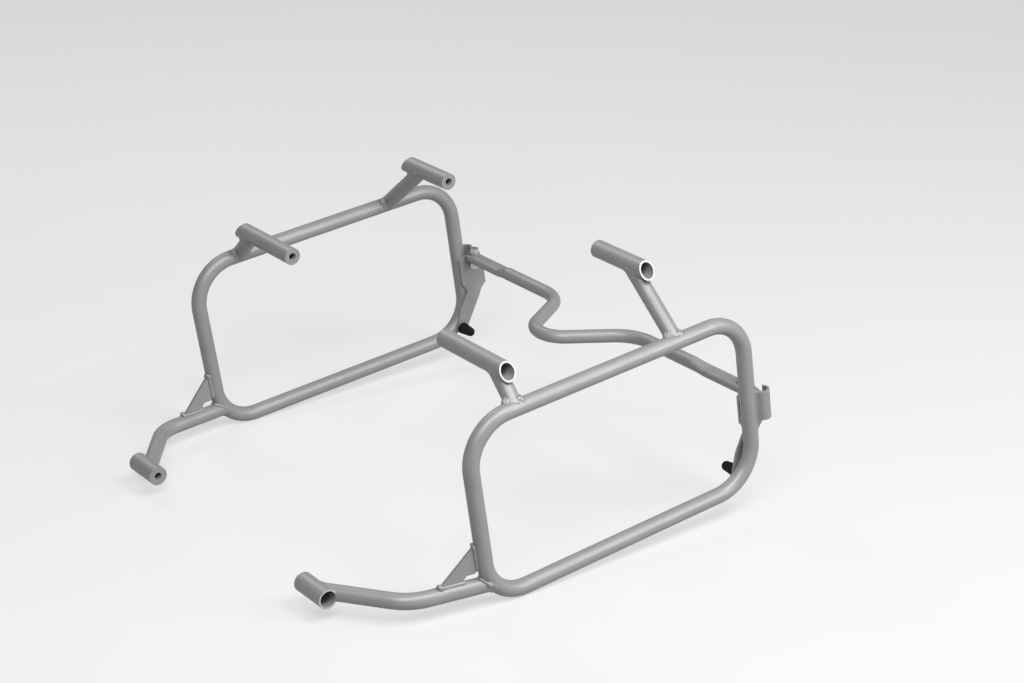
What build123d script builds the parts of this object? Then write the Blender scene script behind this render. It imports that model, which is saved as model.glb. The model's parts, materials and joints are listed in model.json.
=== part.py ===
"""Pannier frame for a motorcycle: two bent tube hoops on welded stubs, joined by a rear crossbar.

Millimetres. +X points forward, +Y to the rider's left and +Z up. The left side is modelled and
mirrored. Points are first laid out from the front top corner of the left hoop, and the finished
frame is then moved so that the middle of its overall box is the origin.
"""
import os
from math import cos, radians, sin, tan

from build123d import *

os.makedirs("parts", exist_ok=True)

# Tube and sheet stock
hoop_tube = 18.0
strut_tube = 18.0
arm_tube = 18.0
tube_wall = 2.0
upper_stub_tube = 20.0
lower_stub_tube = 22.0
stub_wall = 2.0
crossbar_tube = 16.0
crossbar_wall = 1.5
gusset_sheet = 4.0
bracket_sheet = 3.0
hook_sheet = 2.4

# Hoop: a leaning parallelogram between bend corners, parallel to the XZ plane
hoop_offset = 275.0
hoop_length = 370.0
hoop_height = 209.0
rail_rise = 5.2
upright_lean = 8.5
hoop_bend = 50.0

# Upper stubs: where the strut leaves the top rail, how far it climbs inboard, and the stub's ends
front_strut_along = 64.0
front_strut_inboard = 36.5
front_strut_climb = 35.5
front_stub_mouth = 23.0
front_stub_inner = 88.0
rear_strut_along = 278.0
rear_strut_inboard = 80.0
rear_strut_climb = 65.5
rear_stub_mouth = 30.0
rear_stub_inner = 54.0
mouth_slant = 29.0

# Lower arm: leaves the front bottom bend, runs forward and then turns inboard to its stub
arm_joint_turn = 32.0
arm_rear_forward = 95.0
arm_rear_inboard = 15.0
arm_front_forward = 63.0
arm_front_inboard = 83.0
arm_bend = 50.0
lower_stub_mouth = 26.0
lower_stub_inner = 22.0

# Mounting seats: a bored disc in the inner end of each stub, for an M8 screw
seat_thickness = 6.0
seat_bore = 8.5

# Gusset between the arm and the front upright, with an open corner
gusset_height = 48.0
gusset_reach = 65.0
gusset_tip = 1.1
gusset_foot = 6.5
relief_height = 16.5
relief_reach = 35.5
relief_corner = 3.5
relief_rise = 4.2

# Lock hook on the rear upright: a strip that swings outboard and ends in a rolled lip
hook_drop = 115.2
hook_height = 35.5
hook_reach = 11.0
hook_outboard = 9.0
hook_swing = 56.0
lip_radius = 7.5
lip_wrap = 190.0

# Crossbar bracket inboard of the rear upright: a welded plate with a bent tab, and a tongue with an ear
tab_drop = 93.7
tab_width = 12.5
tab_length = 14.5
tab_bend = 2.0
tab_corner = 5.0
plate_ahead = 5.7
plate_behind = 30.0
plate_height = 47.2
plate_notch = 8.5
plate_shoulder = 13.7
plate_front_corner = 2.5
plate_rear_corner = 8.0
tongue_behind = 18.0
tongue_bulge = 3.2
ear_rise = 10.1
ear_ahead = 16.5
ear_radius = 7.5

# Rubber buffer on the ear, a blunt cone
buffer_diameter = 15.0
buffer_tip = 10.5
buffer_length = 21.2
buffer_dome = 4.5
buffer_stem = 5.0

# Crossbar: level, lateral towards its flattened ends, with a nose that reaches forward
crossbar_setback = 8.7
crossbar_end_run = 202.4
crossbar_lead = 112.2
crossbar_bend = 50.0
crossbar_nose = 34.0
flat_setback = 13.6
flat_drop = 4.2
flat_thickness = 10.5
flat_width = 20.5
flat_length = 65.4
flat_taper = 19.0
flat_corner = 4.0

# Crossbar fasteners, M6
bolt_diameter = 6.0
bolt_hole = 6.6
bolt_head_width = 10.0
bolt_head_height = 4.0
bolt_end = 2.0
washer_diameter = 12.0
washer_thickness = 1.6
nut_height = 5.0
bolt_inset = 8.0

# Directions and points of the left side
left = Vector(0, 1, 0)
up = Vector(0, 0, 1)
rail_dir = Vector(-cos(radians(rail_rise)), 0, sin(radians(rail_rise)))
upright_dir = Vector(sin(radians(upright_lean)), 0, cos(radians(upright_lean)))
rearward = Vector(-upright_dir.Z, 0, upright_dir.X)
front_top = Vector(0, hoop_offset, 0)
rear_top = front_top + rail_dir * hoop_length
front_bottom = front_top - upright_dir * hoop_height
rear_bottom = rear_top - upright_dir * hoop_height
hoop_radius = hoop_tube / 2


def bar(corners, radius, diameter, close=False):
    """A round bar that follows straight runs with equal bends."""
    with BuildPart() as solid:
        with BuildLine() as path:
            FilletPolyline(*corners, radius=radius, close=close)
        with BuildSketch(Plane(origin=path.line @ 0, z_dir=path.line % 0)):
            Circle(diameter / 2)
        sweep()
    return solid.part


def rod(start, end, diameter):
    """A straight round rod from one point to another."""
    with BuildPart() as solid:
        with BuildSketch(Plane(origin=start, z_dir=end - start)):
            Circle(diameter / 2)
        extrude(amount=(end - start).length)
    return solid.part


def tube(outer, bore, neighbours):
    """A tube with its bore cut out and its ends saddle-cut to fit the tubes it meets."""
    with BuildPart() as solid:
        add(outer)
        add(bore, mode=Mode.SUBTRACT)
        for neighbour in neighbours:
            add(neighbour, mode=Mode.SUBTRACT)
    return solid.part


# Hoop
hoop_corners = (front_top, rear_top, rear_bottom, front_bottom)
hoop_core = bar(hoop_corners, hoop_bend, hoop_tube, close=True)
hoop_bore = bar(hoop_corners, hoop_bend, hoop_tube - 2 * tube_wall, close=True)
hoop = tube(hoop_core, hoop_bore, [])


def upper_mount(along, inboard, climb, mouth, inner):
    """One stub above the top rail with its strut and its bored seat."""
    foot = front_top + rail_dir * along
    head = foot - left * inboard + up * climb
    mouth_normal = left * cos(radians(mouth_slant)) + up * sin(radians(mouth_slant))
    inner_end = head - left * inner
    stub_core = rod(inner_end, head + left * (mouth + upper_stub_tube), upper_stub_tube)
    strut = tube(
        rod(foot, head, strut_tube),
        rod(foot, head, strut_tube - 2 * tube_wall),
        [hoop_core, stub_core],
    )
    with BuildPart() as stub:
        with BuildSketch(Plane(origin=inner_end, z_dir=left)):
            Circle(upper_stub_tube / 2)
            Circle(upper_stub_tube / 2 - stub_wall, mode=Mode.SUBTRACT)
        extrude(amount=inner + mouth + upper_stub_tube)
        split(bisect_by=Plane(origin=head + left * mouth, z_dir=mouth_normal), keep=Keep.BOTTOM)
    return strut, stub.part, seat(inner_end, upper_stub_tube)


def seat(inner_end, stub_tube):
    """The bored disc that closes a stub's inner end."""
    with BuildPart() as disc:
        with BuildSketch(Plane(origin=inner_end, z_dir=left)):
            Circle(stub_tube / 2 - stub_wall)
            Circle(seat_bore / 2, mode=Mode.SUBTRACT)
        extrude(amount=seat_thickness)
    return disc.part


# Upper mounts
front_strut, front_stub, front_seat = upper_mount(
    front_strut_along, front_strut_inboard, front_strut_climb, front_stub_mouth, front_stub_inner
)
rear_strut, rear_stub, rear_seat = upper_mount(
    rear_strut_along, rear_strut_inboard, rear_strut_climb, rear_stub_mouth, rear_stub_inner
)

# Lower arm and stub
bottom_half_turn = (90 - upright_lean + rail_rise) / 2
bend_inset = hoop_bend * tan(radians(bottom_half_turn))
bend_centre = front_bottom + upright_dir * bend_inset + rearward * hoop_bend
joint_angle = radians(upright_lean + arm_joint_turn)
arm_joint = bend_centre + Vector(cos(joint_angle), 0, -sin(joint_angle)) * hoop_bend
arm_elbow = arm_joint + Vector(arm_rear_forward, -arm_rear_inboard, 0)
arm_head = arm_elbow + Vector(arm_front_forward, -arm_front_inboard, 0)
arm_corners = (arm_joint, arm_elbow, arm_head)
arm_core = bar(arm_corners, arm_bend, arm_tube)
lower_inner_end = arm_head - left * lower_stub_inner
lower_stub_core = rod(lower_inner_end, arm_head + left * lower_stub_mouth, lower_stub_tube)
arm = tube(
    arm_core,
    bar(arm_corners, arm_bend, arm_tube - 2 * tube_wall),
    [hoop_core, lower_stub_core],
)
lower_stub = tube(
    lower_stub_core,
    rod(lower_inner_end, arm_head + left * lower_stub_mouth, lower_stub_tube - 2 * stub_wall),
    [],
)
lower_seat = seat(lower_inner_end, lower_stub_tube)

# Gusset: lies in the plane of the arm's rear run and the front upright
arm_dir = (arm_elbow - arm_joint).normalized()
gusset_normal = arm_dir.cross(upright_dir).normalized()
gusset_plane = Plane(origin=arm_joint, x_dir=arm_dir, z_dir=gusset_normal)
upright_foot = gusset_plane.to_local_coords(front_bottom)
upright_head = gusset_plane.to_local_coords(front_top)


def on_upright(height):
    """The point of the gusset's plane on the front upright's axis at a height above the arm."""
    share = (height - upright_foot.Y) / (upright_head.Y - upright_foot.Y)
    return (upright_foot.X + share * (upright_head.X - upright_foot.X), height)


relief_top = relief_height + relief_rise
with BuildPart() as gusset:
    with BuildSketch(gusset_plane):
        with BuildLine():
            Polyline(
                on_upright(gusset_height),
                (on_upright(gusset_height)[0] + hoop_radius + gusset_tip, gusset_height),
                (gusset_reach, gusset_foot),
                (gusset_reach - gusset_foot, 0),
                (relief_reach, 0),
                (relief_reach, relief_height - relief_corner),
                (relief_reach - relief_corner, relief_height),
                (on_upright(relief_height)[0] + hoop_radius + relief_rise, relief_height),
                (on_upright(relief_top)[0] + hoop_radius, relief_top),
                on_upright(relief_top),
                close=True,
            )
        make_face()
    extrude(amount=gusset_sheet / 2, both=True)
    add(hoop_core, mode=Mode.SUBTRACT)
    add(arm_core, mode=Mode.SUBTRACT)

# Lock hook: its plan leaves the upright where its line passes nearest to the axis, and ends in the roll
hook_middle = rear_top - upright_dir * hook_drop
hook_plane = Plane(origin=hook_middle - upright_dir * hook_height / 2, x_dir=rearward, z_dir=upright_dir)
hook_tangent = Vector(cos(radians(hook_swing)), -sin(radians(hook_swing)))
lip_start = Vector(hook_reach, -hook_outboard)
shank_start = lip_start - hook_tangent * lip_start.dot(hook_tangent)
with BuildPart() as hook:
    with BuildSketch(hook_plane):
        with BuildLine():
            shank = Line(shank_start, lip_start)
            JernArc(start=shank @ 1, tangent=shank % 1, radius=lip_radius, arc_size=lip_wrap)
        trace(line_width=hook_sheet)
    extrude(amount=hook_height)
    add(hoop_core, mode=Mode.SUBTRACT)

# Crossbar bracket: the tab is bent inboard from the plate's top edge, over the crossbar's flat
tab_point = rear_top - upright_dir * tab_drop
bar_x = tab_point.X - crossbar_setback
bolt_x = tab_point.X - flat_setback
plate_face = hoop_offset - hoop_radius
bend_outer = tab_bend + bracket_sheet
bolt_y = plate_face - bracket_sheet - bolt_inset


def behind_upright(drop, behind):
    """A point of the plate: so far below the tab's level and so far behind the upright's axis."""
    return (tab_point.X - drop * tan(radians(upright_lean)) - behind, tab_point.Z - drop)


ear_centre = (rear_bottom.X + ear_ahead, rear_bottom.Z + ear_rise)
tongue_start = behind_upright(plate_height + plate_rear_corner, 0)
tongue_end = (ear_centre[0] + ear_radius, ear_centre[1])
tongue_knee = (
    (tongue_start[0] + tongue_end[0]) / 2 + tongue_bulge,
    (tongue_start[1] + tongue_end[1]) / 2,
)
plate_plane = Plane(origin=(0, plate_face, 0), x_dir=(1, 0, 0), z_dir=(0, -1, 0))
tab_front = Vector(bolt_x + tab_width / 2, plate_face, tab_point.Z)
tab_plane = Plane(origin=tab_front, x_dir=(0, -1, 0), z_dir=(-1, 0, 0))
with BuildPart() as bracket:
    with BuildSketch(plate_plane):
        with BuildLine():
            Polyline(
                (bolt_x + tab_width / 2, tab_point.Z - bend_outer),
                behind_upright(plate_notch, plate_front_corner - plate_ahead),
                behind_upright(plate_notch + plate_front_corner, -plate_ahead),
                behind_upright(plate_height - plate_front_corner, -plate_ahead),
                behind_upright(plate_height, plate_front_corner - plate_ahead),
                tongue_start,
                tongue_knee,
                tongue_end,
                (ear_centre[0] - ear_radius, ear_centre[1]),
                behind_upright(plate_height + 2 * plate_rear_corner, tongue_behind),
                behind_upright(plate_height + plate_rear_corner, plate_behind - plate_rear_corner),
                behind_upright(plate_height, plate_behind),
                behind_upright(plate_shoulder, plate_behind),
                (bolt_x - tab_width / 2, tab_point.Z - bracket_sheet),
                (bolt_x - tab_width / 2, tab_point.Z - bend_outer),
                close=True,
            )
        make_face()
        with Locations(ear_centre):
            Circle(ear_radius)
            Circle(buffer_stem / 2, mode=Mode.SUBTRACT)
    extrude(amount=bracket_sheet)
    with BuildSketch(tab_plane):
        with BuildLine():
            Line((0, -bend_outer), (bracket_sheet, -bend_outer))
            RadiusArc((bracket_sheet, -bend_outer), (bend_outer, -bracket_sheet), tab_bend)
            Polyline(
                (bend_outer, -bracket_sheet),
                (bracket_sheet + tab_length, -bracket_sheet),
                (bracket_sheet + tab_length, 0),
                (bend_outer, 0),
            )
            RadiusArc((bend_outer, 0), (0, -bend_outer), -bend_outer)
        make_face()
    extrude(amount=tab_width)
    fillet(bracket.edges().filter_by(Axis.Z).group_by(Axis.Y)[0], tab_corner)
    with Locations((bolt_x, bolt_y, tab_point.Z)):
        Hole(bolt_hole / 2)

# Rubber buffer, with its stem in the ear
buffer_base = Vector(ear_centre[0], plate_face - bracket_sheet, ear_centre[1])
buffer_plane = Plane(origin=buffer_base, z_dir=(0, -1, 0))
with BuildPart() as buffer:
    with Locations(buffer_plane):
        Cone(
            bottom_radius=buffer_diameter / 2,
            top_radius=buffer_tip / 2,
            height=buffer_length,
            align=(Align.CENTER, Align.CENTER, Align.MIN),
        )
    fillet(buffer.edges().sort_by(Axis.Y)[0], buffer_dome)
    with BuildSketch(buffer_plane):
        Circle(buffer_stem / 2)
    extrude(amount=-bracket_sheet)

# Crossbar: round between the tapers, flattened and pressed down where it lies under the tabs
flat_top = tab_point.Z - bracket_sheet
flat_z = flat_top - flat_thickness / 2
bar_z = flat_z + flat_drop
flat_end = plate_face - bend_outer
flat_start = Vector(bolt_x, flat_end - flat_length, flat_z)
taper_start = Vector(bar_x, flat_end - flat_length - flat_taper, bar_z)
bend_corner = Vector(bar_x, hoop_offset - crossbar_end_run, bar_z)
nose_corner = Vector(bar_x + crossbar_lead, 0, bar_z)


def across(point):
    """The same point on the right side."""
    return Vector(point.X, -point.Y, point.Z)


taper_plane = Plane(origin=taper_start, x_dir=(1, 0, 0), z_dir=left)
flat_plane = Plane(origin=flat_start, x_dir=(1, 0, 0), z_dir=left)
with BuildPart() as bar_end:
    for inset, mode in ((0, Mode.ADD), (crossbar_wall, Mode.SUBTRACT)):
        with BuildSketch(taper_plane):
            Circle(crossbar_tube / 2 - inset)
        with BuildSketch(flat_plane):
            SlotOverall(flat_width - 2 * inset, flat_thickness - 2 * inset)
        loft(mode=mode)
        with BuildSketch(flat_plane):
            SlotOverall(flat_width - 2 * inset, flat_thickness - 2 * inset)
        extrude(amount=flat_length, mode=mode)
    with BuildSketch(Plane.XY.offset(flat_z)):
        with Locations((bolt_x, flat_end - flat_length / 2)):
            Rectangle(2 * flat_width, flat_length)
            RectangleRounded(flat_width, flat_length, flat_corner, mode=Mode.SUBTRACT)
            Rectangle(2 * flat_width, flat_length - 2 * flat_corner, mode=Mode.SUBTRACT)
        with Locations((bolt_x, flat_end - flat_length + flat_corner / 2)):
            Rectangle(2 * flat_width, flat_corner, mode=Mode.SUBTRACT)
    extrude(amount=flat_thickness, both=True, mode=Mode.SUBTRACT)
    with Locations((bolt_x, bolt_y, flat_z)):
        Hole(bolt_hole / 2)
with BuildPart() as crossbar:
    with BuildLine() as bar_path:
        FilletPolyline(
            taper_start,
            bend_corner,
            nose_corner,
            across(bend_corner),
            across(taper_start),
            radius=(crossbar_bend, crossbar_nose, crossbar_bend),
        )
    with BuildSketch(Plane(origin=bar_path.line @ 0, z_dir=bar_path.line % 0)):
        Circle(crossbar_tube / 2)
        Circle(crossbar_tube / 2 - crossbar_wall, mode=Mode.SUBTRACT)
    sweep()
    add(bar_end.part)
    mirror(bar_end.part, about=Plane.XZ)

# Crossbar fasteners: bolt down through washer, tab, flat, washer and nut
head_seat = tab_point.Z + washer_thickness
nut_seat = flat_top - flat_thickness - washer_thickness
bolt_spots = ((bolt_x, bolt_y), (bolt_x, -bolt_y))
with BuildPart() as bolts:
    with BuildSketch(Plane.XY.offset(head_seat)):
        with Locations(*bolt_spots):
            RegularPolygon(bolt_head_width / 2, 6, major_radius=False)
    extrude(amount=bolt_head_height)
    with BuildSketch(Plane.XY.offset(head_seat)):
        with Locations(*bolt_spots):
            Circle(bolt_diameter / 2)
    extrude(amount=nut_seat - nut_height - bolt_end - head_seat)
with BuildPart() as washers:
    with BuildSketch(Plane.XY.offset(tab_point.Z), Plane.XY.offset(nut_seat)):
        with Locations(*bolt_spots):
            Circle(washer_diameter / 2)
            Circle(bolt_hole / 2, mode=Mode.SUBTRACT)
    extrude(amount=washer_thickness)
with BuildPart() as nuts:
    with BuildSketch(Plane.XY.offset(nut_seat)):
        with Locations(*bolt_spots):
            RegularPolygon(bolt_head_width / 2, 6, major_radius=False)
            Circle(bolt_diameter / 2, mode=Mode.SUBTRACT)
    extrude(amount=-nut_height)

# Left pieces and their mirrored twins
side_pieces = {
    "hoop": hoop,
    "upper_front_strut": front_strut,
    "upper_front_stub": front_stub,
    "upper_front_seat": front_seat,
    "upper_rear_strut": rear_strut,
    "upper_rear_stub": rear_stub,
    "upper_rear_seat": rear_seat,
    "lower_arm": arm,
    "lower_stub": lower_stub,
    "lower_seat": lower_seat,
    "gusset": gusset.part,
    "lock_hook": hook.part,
    "crossbar_bracket": bracket.part,
    "buffer": buffer.part,
}
pieces = {
    "crossbar": crossbar.part,
    "crossbar_bolts": bolts.part,
    "crossbar_washers": washers.part,
    "crossbar_nuts": nuts.part,
}
for name, piece in side_pieces.items():
    pieces[f"{name}_left"] = piece
    with BuildPart() as twin:
        mirror(piece, about=Plane.XZ)
    pieces[f"{name}_right"] = twin.part

# Origin at the middle of the overall box
middle = Compound(list(pieces.values())).bounding_box().center()
for name, piece in pieces.items():
    placed = Pos(-middle) * piece
    placed.label = name
    export_step(placed, f"parts/{name}.step")
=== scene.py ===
"""Studio scene of the pannier frame: materials, weld beads, floor, light and camera. Metres, +Z up."""

import json
from math import cos, exp, pi, radians, sin

import bmesh
import bpy
from mathutils import Matrix, Vector
from mathutils.bvhtree import BVHTree


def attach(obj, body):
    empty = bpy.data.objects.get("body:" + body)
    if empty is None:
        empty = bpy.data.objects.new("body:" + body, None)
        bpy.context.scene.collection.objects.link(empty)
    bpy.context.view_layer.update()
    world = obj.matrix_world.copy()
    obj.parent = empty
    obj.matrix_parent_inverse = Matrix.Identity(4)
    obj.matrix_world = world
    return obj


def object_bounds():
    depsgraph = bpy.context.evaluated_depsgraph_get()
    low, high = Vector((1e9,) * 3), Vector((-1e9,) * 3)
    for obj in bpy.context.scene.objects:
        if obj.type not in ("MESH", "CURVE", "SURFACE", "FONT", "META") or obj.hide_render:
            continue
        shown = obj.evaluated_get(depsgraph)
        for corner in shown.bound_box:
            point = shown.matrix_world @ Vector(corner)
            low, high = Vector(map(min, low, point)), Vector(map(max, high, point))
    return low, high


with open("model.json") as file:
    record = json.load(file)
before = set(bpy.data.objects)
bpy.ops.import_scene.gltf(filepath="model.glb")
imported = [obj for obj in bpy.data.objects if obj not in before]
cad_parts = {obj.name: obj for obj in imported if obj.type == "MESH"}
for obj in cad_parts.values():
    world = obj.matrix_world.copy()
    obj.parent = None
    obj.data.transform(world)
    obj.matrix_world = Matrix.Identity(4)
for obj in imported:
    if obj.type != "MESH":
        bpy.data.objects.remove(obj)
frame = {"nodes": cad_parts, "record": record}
nodes = frame["nodes"]
cad_low, cad_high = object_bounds()

HANDS = {"left": 1, "right": -1}
FORE = Vector((1, 0, 0))
UP = Vector((0, 0, 1))
WHITE = (1.0, 1.0, 1.0, 1.0)

# Materials: the band where most noise lies, eased edges, and the flake and rim of the coat

NOISE_LOW = 0.3
NOISE_HIGH = 0.7
EDGE_SAMPLES = 6
FLAKE_STOPS = (
    (0.35, (0.3, 0.303, 0.305)),
    (0.62, (0.345, 0.348, 0.348)),
    (0.78, (0.44, 0.44, 0.435)),
)
RIM_COLOUR = (0.52, 0.52, 0.515, 1.0)
RIM_START_COSINE = 0.985
RIM_FULL_COSINE = 0.995
MOUTH_COSINE = 0.5
NORMAL_DIGITS = 3


def new_material(name):
    """A node material, with its tree and its Principled shader."""
    material = bpy.data.materials.new(name)
    material.use_nodes = True
    tree = material.node_tree
    return material, tree, tree.nodes["Principled BSDF"]


def noise(tree, scale, detail=2.0):
    """Noise in the object's own coordinates, scale in cycles per metre."""
    place = tree.nodes.new("ShaderNodeTexCoord")
    texture = tree.nodes.new("ShaderNodeTexNoise")
    texture.inputs["Scale"].default_value = scale
    texture.inputs["Detail"].default_value = detail
    tree.links.new(place.outputs["Object"], texture.inputs["Vector"])
    return texture.outputs["Fac"]


def ramp(tree, value, stops):
    """A colour ramp over a value, with stops as position and colour."""
    node = tree.nodes.new("ShaderNodeValToRGB")
    elements = node.color_ramp.elements
    while len(elements) < len(stops):
        elements.new(0.5)
    for element, (position, colour) in zip(elements, stops):
        element.position = position
        element.color = (*colour, 1.0)
    tree.links.new(value, node.inputs["Fac"])
    return node.outputs["Color"]


def two_tone(tree, value, dark, light):
    """A colour that goes from dark to light over a noise value."""
    return ramp(tree, value, ((NOISE_LOW, dark), (NOISE_HIGH, light)))


def map_range(tree, value, start, end, low=0.0, high=1.0):
    """A value that goes from low to high while another goes from start to end."""
    node = tree.nodes.new("ShaderNodeMapRange")
    node.inputs["From Min"].default_value = start
    node.inputs["From Max"].default_value = end
    node.inputs["To Min"].default_value = low
    node.inputs["To Max"].default_value = high
    tree.links.new(value, node.inputs["Value"])
    return node.outputs["Result"]


def span(tree, value, low, high):
    """A noise value spread from low to high."""
    return map_range(tree, value, NOISE_LOW, NOISE_HIGH, low, high)


def mixed_colours(tree, blend):
    """The factor, the two colours and the result of a colour mix."""
    node = tree.nodes.new("ShaderNodeMix")
    node.data_type = "RGBA"
    node.blend_type = blend
    return node.inputs[0], node.inputs[6], node.inputs[7], node.outputs[2]


def tinted(tree, colour, value, low, high):
    """A colour made darker and lighter by a slow noise value."""
    shade = two_tone(tree, value, (low, low, low), (high, high, high))
    factor, first, second, result = mixed_colours(tree, "MULTIPLY")
    factor.default_value = 1.0
    tree.links.new(colour, first)
    tree.links.new(shade, second)
    return result


def bump(tree, shader, height, distance, strength, edge=0.0):
    """Fine relief from a height value, over edges that are eased by a small radius."""
    node = tree.nodes.new("ShaderNodeBump")
    node.inputs["Distance"].default_value = distance
    node.inputs["Strength"].default_value = strength
    tree.links.new(height, node.inputs["Height"])
    tree.links.new(node.outputs["Normal"], shader.inputs["Normal"])
    if edge:
        eased_edge = tree.nodes.new("ShaderNodeBevel")
        eased_edge.samples = EDGE_SAMPLES
        eased_edge.inputs["Radius"].default_value = edge
        tree.links.new(eased_edge.outputs["Normal"], node.inputs["Normal"])


def facing(tree, direction):
    """One on faces that look in a direction, and nought elsewhere."""
    geometry = tree.nodes.new("ShaderNodeNewGeometry")
    product = tree.nodes.new("ShaderNodeVectorMath")
    product.operation = "DOT_PRODUCT"
    product.inputs[1].default_value = direction
    tree.links.new(geometry.outputs["True Normal"], product.inputs[0])
    return map_range(tree, product.outputs["Value"], RIM_START_COSINE, RIM_FULL_COSINE)


def coat_material(name, rim=None):
    """Satin silver-grey powder coat with a metallic flake, and a bright rim where faces look along it."""
    material, tree, shader = new_material(name)
    flake = ramp(tree, noise(tree, scale=2600.0, detail=1.0), FLAKE_STOPS)
    colour = tinted(tree, flake, noise(tree, scale=30.0), low=0.93, high=1.0)
    if rim is not None:
        factor, first, second, result = mixed_colours(tree, "MIX")
        second.default_value = RIM_COLOUR
        tree.links.new(facing(tree, rim), factor)
        tree.links.new(colour, first)
        colour = result
    roughness = span(tree, noise(tree, scale=45.0), low=0.4, high=0.47)
    tree.links.new(colour, shader.inputs["Base Color"])
    tree.links.new(roughness, shader.inputs["Roughness"])
    shader.inputs["Metallic"].default_value = 0.25
    shader.inputs["Specular IOR Level"].default_value = 0.25
    bump(tree, shader, noise(tree, scale=650.0), distance=0.0002, strength=0.12, edge=0.0006)
    return material


def zinc_material():
    """Bright zinc plate with a faint yellow cast and fine scratches."""
    material, tree, shader = new_material("zinc")
    cast = two_tone(tree, noise(tree, scale=160.0), (0.42, 0.42, 0.41), (0.56, 0.55, 0.52))
    roughness = span(tree, noise(tree, scale=900.0), low=0.26, high=0.42)
    tree.links.new(cast, shader.inputs["Base Color"])
    tree.links.new(roughness, shader.inputs["Roughness"])
    shader.inputs["Metallic"].default_value = 1.0
    bump(tree, shader, noise(tree, scale=1800.0), distance=0.0001, strength=0.15)
    return material


def rubber_material():
    """Matt black moulded rubber with a fine grain."""
    material, tree, shader = new_material("rubber")
    shade = two_tone(tree, noise(tree, scale=220.0), (0.006, 0.006, 0.0065), (0.014, 0.014, 0.015))
    roughness = span(tree, noise(tree, scale=500.0), low=0.6, high=0.78)
    tree.links.new(shade, shader.inputs["Base Color"])
    tree.links.new(roughness, shader.inputs["Roughness"])
    shader.inputs["Specular IOR Level"].default_value = 0.15
    bump(tree, shader, noise(tree, scale=1500.0), distance=0.0001, strength=0.25)
    return material


def mouth(mesh, outward):
    """The direction of a stub's open end: the outward flat that has the largest area."""
    areas = {}
    for face in mesh.polygons:
        if face.normal.dot(outward) > MOUTH_COSINE:
            way = tuple(round(value, NORMAL_DIGITS) for value in face.normal)
            areas[way] = areas.get(way, 0.0) + face.area
    return Vector(max(areas, key=areas.get)).normalized()


MATERIALS = {"coat": coat_material("coat"), "zinc": zinc_material(), "rubber": rubber_material()}
for part in frame["record"]["subparts"]:
    name = part["node"]
    mesh = nodes[name].data
    mesh.materials.clear()
    if "stub" in name:
        outward = Vector((0, HANDS[name.rsplit("_", 1)[1]], 0))
        mesh.materials.append(coat_material(f"coat_{name}", mouth(mesh, outward)))
    else:
        mesh.materials.append(MATERIALS[part["material_slot"]])


def add_piece(name, bm, slot):
    """A finished mesh as a piece that rides on the frame."""
    bmesh.ops.recalc_face_normals(bm, faces=bm.faces)
    mesh = bpy.data.meshes.new(name)
    bm.to_mesh(mesh)
    bm.free()
    for face in mesh.polygons:
        face.use_smooth = True
    mesh.materials.append(MATERIALS[slot])
    piece = bpy.data.objects.new(name, mesh)
    bpy.context.scene.collection.objects.link(piece)
    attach(piece, "root")


# Weld beads: how a seam is found and followed

SEAM_REACH = 0.0003
SEAM_JOIN = 1e-6
SEAM_FOLD = radians(25)
END_FACE_COSINE = -0.85
SPACING = 0.0005
FEWEST_ROWS = 24
EASING_ROUNDS = 6

# The bead's section, its ripples, its slow and quick swell, and its lumps

FACETS = 7
SINK = 0.0002
BURY = 0.0008
RIPPLE = 0.0024
RIPPLE_HEIGHT = 0.05
SLOW_SWELL = 0.07
SLOW_WAVES = 3
SLOW_PHASE = 1.0
QUICK_SWELL = 0.05
QUICK_WAVES = 7
LUMP = 0.003
LUMP_SPREAD = 0.35
LUMP_HEIGHT = 0.4

# Stitches between the bracket's plate and the rear upright

STITCH_FACETS = 10
STITCH_RADIUS = 0.0016
STITCH_TIP = 0.04
STITCH_ROUNDING = 6
STITCH_FULLNESS = 0.94
STITCH_RIPPLE = 0.07
STITCH_AHEAD = {"front": 0.0054, "rear": -0.0054}
STITCH_DROPS = {"upper": (0.009, 0.0175), "lower": (0.035, 0.045)}
UPRIGHT_LEAN = radians(8.5)
UPRIGHT = Vector((sin(UPRIGHT_LEAN), 0, cos(UPRIGHT_LEAN)))
TAB_ON_UPRIGHT = Vector((-0.23946, 0.2671, -0.00367))


def surface(node):
    """A search tree over a node's surface."""
    return BVHTree.FromObject(nodes[node], bpy.context.evaluated_depsgraph_get())


def length(line):
    """The length of a line of points with normals."""
    return sum((b[0] - a[0]).length for a, b in zip(line, line[1:]))


def seam(node, base):
    """The longest sharp edge loop of a node on a base surface: points with the node's own normals."""
    bm = bmesh.new()
    bm.from_mesh(nodes[node].data)
    bmesh.ops.remove_doubles(bm, verts=bm.verts, dist=SEAM_JOIN)
    near = {v for v in bm.verts if base.find_nearest(v.co, SEAM_REACH)[0] is not None}
    links = {}
    for edge in bm.edges:
        if edge.calc_face_angle(0.0) > SEAM_FOLD and near.issuperset(edge.verts):
            for vertex in edge.verts:
                links.setdefault(vertex, []).append(edge.other_vert(vertex))
    lines = []
    while links:
        start = min(links, key=lambda v: len(links[v]))
        walk = [start]
        while links.get(walk[-1]):
            step = links[walk[-1]].pop()
            links[step].remove(walk[-1])
            walk.append(step)
        for vertex in walk:
            if not links.get(vertex):
                links.pop(vertex, None)
        line = []
        for vertex in walk:
            normal = base.find_nearest(vertex.co)[1]
            faces = [face for face in vertex.link_faces if face.normal.dot(normal) > END_FACE_COSINE]
            own = sum((face.normal for face in faces), Vector())
            line.append((vertex.co.copy(), own.normalized()))
        lines.append(line)
    bm.free()
    return max(lines, key=length)


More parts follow.
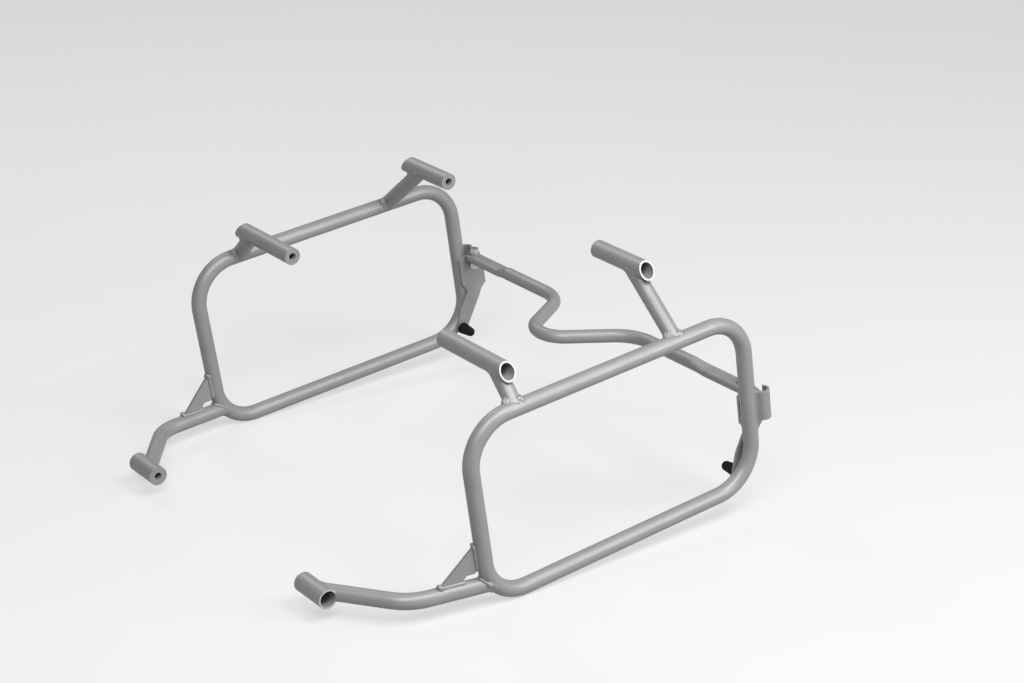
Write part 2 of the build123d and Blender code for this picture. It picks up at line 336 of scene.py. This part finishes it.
def resample(line, count):
    """Equally spaced points with normals along a closed line."""
    total = length(line)
    samples = []
    index = 0
    walked = 0.0
    for k in range(count):
        target = total * k / count
        while index < len(line) - 2 and walked + (line[index + 1][0] - line[index][0]).length < target:
            walked += (line[index + 1][0] - line[index][0]).length
            index += 1
        (a, way_a), (b, way_b) = line[index], line[index + 1]
        run = (b - a).length
        share = min((target - walked) / run, 1.0) if run else 0.0
        samples.append((a.lerp(b, share), way_a.lerp(way_b, share)))
    return samples


def eased(ring):
    """A closed ring of vectors with its corners eased."""
    count = len(ring)
    for _ in range(EASING_ROUNDS):
        ring = [(ring[i - 1] + ring[i] * 2 + ring[(i + 1) % count]) / 4 for i in range(count)]
    return ring


def skin(bm, row, following):
    """Faces between two closed rows of points."""
    for k in range(len(row)):
        after = (k + 1) % len(row)
        bm.faces.new((row[k], row[after], following[after], following[k]))


def weld(name, node, neighbour, leg, fullness, lumps=(), lift=1.0):
    """A rippled fillet bead round the seam of a node and its neighbour.

    Each lump lies where the seam reaches farthest in the direction that is given for it.
    """
    base = surface(neighbour)
    own = surface(node)
    line = seam(node, base)
    run = length(line)
    count = max(FEWEST_ROWS, round(run / SPACING))
    ripples = max(1, round(run / RIPPLE))
    samples = resample(line, count)
    ring = eased([point for point, _ in samples])
    own_ways = [way.normalized() for way in eased([way for _, way in samples])]
    base_ways = [way.normalized() for way in eased([base.find_nearest(p)[1] for p in ring])]
    steps = [(ring[(i + 1) % count] - ring[i - 1]).normalized() for i in range(count)]
    winding = sum(s.cross(b).dot(o) for s, b, o in zip(steps, base_ways, own_ways))
    sense = 1 if winding > 0 else -1
    peaks = [max(range(count), key=lambda i: ring[i].dot(way)) for way in lumps]
    bm = bmesh.new()
    rows = []
    for i, (point, step, base_way, own_way) in enumerate(zip(ring, steps, base_ways, own_ways)):
        turn = 2 * pi * i / count
        lump = lift * sum(exp(-(((ring[peak] - point).length / LUMP) ** 2)) for peak in peaks)
        swell = 1.0 + SLOW_SWELL * sin(SLOW_WAVES * turn + SLOW_PHASE)
        swell += QUICK_SWELL * sin(QUICK_WAVES * turn)
        swell += LUMP_SPREAD * lump
        along_base = step.cross(base_way).normalized() * sense
        along_own = step.cross(own_way).normalized() * -sense
        toe_base = base.find_nearest(point + along_base * leg * swell)[0] - base_way * SINK
        toe_own = own.find_nearest(point + along_own * leg * swell)[0] - own_way * SINK
        out = (base_way + own_way).normalized()
        crown = leg * swell * (fullness + RIPPLE_HEIGHT * sin(ripples * turn) + LUMP_HEIGHT * lump)
        row = []
        for k in range(FACETS):
            share = k / (FACETS - 1)
            row.append(toe_base.lerp(toe_own, share) + out * crown * 4 * share * (1 - share))
        row.append(point - out * BURY)
        rows.append([bm.verts.new(place) for place in row])
    for i, row in enumerate(rows):
        skin(bm, row, rows[(i + 1) % count])
    add_piece(name, bm, "coat")


def stitch(name, start, end):
    """A short rippled bead between two points, rounded at both ends."""
    run = end - start
    across = run.orthogonal().normalized()
    beside = run.normalized().cross(across)
    count = round(run.length / SPACING)
    angles = [2 * pi * k / STITCH_FACETS for k in range(STITCH_FACETS)]
    bm = bmesh.new()
    rows = []
    for i in range(count + 1):
        share = i / count
        size = STITCH_RADIUS * (STITCH_TIP + (1 - (2 * share - 1) ** STITCH_ROUNDING) ** 0.5)
        size *= STITCH_FULLNESS + STITCH_RIPPLE * sin(2 * pi * run.length * share / RIPPLE)
        middle = start + run * share
        rows.append([bm.verts.new(middle + (across * cos(a) + beside * sin(a)) * size) for a in angles])
    for row, following in zip(rows, rows[1:]):
        skin(bm, row, following)
    bm.faces.new(rows[0])
    bm.faces.new(rows[-1])
    add_piece(name, bm, "coat")


for side, hand in HANDS.items():
    outward = Vector((0, hand, 0))
    hoop = f"hoop_{side}"
    arm = f"lower_arm_{side}"
    gusset = f"gusset_{side}"
    rail_lumps = (FORE + UP * 0.8 - outward * 0.3, UP * 0.8 + outward * 0.5 - FORE * 0.2)
    arm_lump = outward + UP * 0.4 + FORE * 0.15
    for mount in ("upper_front", "upper_rear"):
        strut = f"{mount}_strut_{side}"
        stub = f"{mount}_stub_{side}"
        weld(f"weld_{mount}_rail_{side}", strut, hoop, leg=0.004, fullness=-0.12, lumps=rail_lumps)
        weld(f"weld_{mount}_stub_{side}", strut, stub, leg=0.0026, fullness=0.1, lumps=(FORE,))
    weld(f"weld_arm_hoop_{side}", arm, hoop, leg=0.0024, fullness=0.3, lumps=(arm_lump,), lift=1.8)
    weld(f"weld_arm_stub_{side}", arm, f"lower_stub_{side}", leg=0.0014, fullness=0.3, lumps=(UP,))
    weld(f"weld_gusset_hoop_{side}", gusset, hoop, leg=0.0026, fullness=0.42, lumps=(UP,))
    weld(f"weld_gusset_arm_{side}", gusset, arm, leg=0.0025, fullness=0.42, lumps=(FORE,), lift=1.5)
    weld(f"weld_hook_{side}", f"lock_hook_{side}", hoop, leg=0.0018, fullness=0.36)
    for edge, ahead in STITCH_AHEAD.items():
        for place, drops in STITCH_DROPS.items():
            spots = [TAB_ON_UPRIGHT + FORE * ahead - UPRIGHT * drop for drop in drops]
            ends = [Vector((spot.x, spot.y * hand, spot.z)) for spot in spots]
            stitch(f"weld_bracket_{edge}_{place}_{side}", *ends)

# Floor and sky

FLOOR_SIZE = 30.0
FLOOR_DARK = (0.26, 0.26, 0.26)
FLOOR_LIGHT = (0.27, 0.27, 0.27)
FLOOR_ROUGHNESS = 0.9
FLOOR_GLOW = 0.58
SKY_LIGHT = 0.03
SKY_SEEN = 0.32


def seen_directly(tree):
    """One where a ray comes from the camera, a reflection or a clear body, and nought elsewhere."""
    path = tree.nodes.new("ShaderNodeLightPath")
    total = path.outputs["Is Camera Ray"]
    for name in ("Is Glossy Ray", "Is Transmission Ray"):
        node = tree.nodes.new("ShaderNodeMath")
        node.operation = "MAXIMUM"
        tree.links.new(total, node.inputs[0])
        tree.links.new(path.outputs[name], node.inputs[1])
        total = node.outputs[0]
    return total


def floor_material():
    """Pale matt studio floor that reads as white and keeps the shadow."""
    material, tree, shader = new_material("floor")
    shade = two_tone(tree, noise(tree, scale=3.0), FLOOR_DARK, FLOOR_LIGHT)
    tree.links.new(shade, shader.inputs["Base Color"])
    shader.inputs["Roughness"].default_value = FLOOR_ROUGHNESS
    glow = tree.nodes.new("ShaderNodeMath")
    glow.operation = "MULTIPLY"
    glow.inputs[1].default_value = FLOOR_GLOW
    tree.links.new(seen_directly(tree), glow.inputs[0])
    shader.inputs["Emission Color"].default_value = WHITE
    tree.links.new(glow.outputs[0], shader.inputs["Emission Strength"])
    return material


bm = bmesh.new()
bmesh.ops.create_grid(bm, x_segments=1, y_segments=1, size=FLOOR_SIZE)
bmesh.ops.translate(bm, verts=bm.verts, vec=(0, 0, cad_low.z))
ground = bpy.data.meshes.new("studio_floor")
bm.to_mesh(ground)
bm.free()
ground.materials.append(floor_material())
studio_floor = bpy.data.objects.new("studio_floor", ground)
bpy.context.scene.collection.objects.link(studio_floor)

world = bpy.data.worlds.new("studio")
world.use_nodes = True
sky_tree = world.node_tree
sky = sky_tree.nodes["Background"]
sky.inputs["Color"].default_value = WHITE
sky_strength = map_range(sky_tree, seen_directly(sky_tree), 0.0, 1.0, SKY_LIGHT, SKY_SEEN)
sky_tree.links.new(sky_strength, sky.inputs["Strength"])
bpy.context.scene.world = world

# Camera, and lamps placed from the origin along the camera's right, its level sight and up

YAW = radians(36.836)
PITCH = radians(22.777)
CAMERA_PLACE = (1.35629, 1.97376, 1.02689)
SENSOR_WIDTH = 36.0
FOCAL_PIXELS = 2300
PICTURE_PIXELS = 1024
CLIP_END = 100.0
LAMP_SIZE = 1.0
rightward = Vector((-cos(YAW), sin(YAW), 0))
level = Vector((-sin(YAW), -cos(YAW), 0))
sight = level * cos(PITCH) - UP * sin(PITCH)
upward = level * sin(PITCH) + UP * cos(PITCH)


def area_light(name, right, depth, height, power):
    """A soft square lamp that faces the object."""
    data = bpy.data.lights.new(name, "AREA")
    data.shape = "SQUARE"
    data.size = LAMP_SIZE
    data.energy = power
    lamp = bpy.data.objects.new(name, data)
    lamp.location = rightward * right + level * depth + UP * height
    lamp.rotation_mode = "QUATERNION"
    lamp.rotation_quaternion = ((cad_low + cad_high) / 2 - lamp.location).to_track_quat("-Z", "Y")
    bpy.context.scene.collection.objects.link(lamp)


area_light("key", right=-0.1, depth=-1.6, height=1.7, power=30.0)
area_light("top", right=1.1, depth=-0.8, height=2.0, power=33.0)
area_light("side", right=2.2, depth=-0.7, height=1.0, power=26.0)
area_light("back", right=-1.0, depth=1.4, height=1.7, power=10.0)

camera_data = bpy.data.cameras.new("camera")
camera_data.sensor_fit = "HORIZONTAL"
camera_data.sensor_width = SENSOR_WIDTH
camera_data.lens = SENSOR_WIDTH * FOCAL_PIXELS / PICTURE_PIXELS
camera_data.clip_end = CLIP_END
camera = bpy.data.objects.new("camera", camera_data)
axes = Matrix((rightward, upward, -sight)).transposed().to_4x4()
camera.matrix_world = Matrix.Translation(CAMERA_PLACE) @ axes
bpy.context.scene.collection.objects.link(camera)
bpy.context.scene.camera = camera
bpy.context.scene.view_settings.view_transform = "Standard"

bpy.context.view_layer.update()
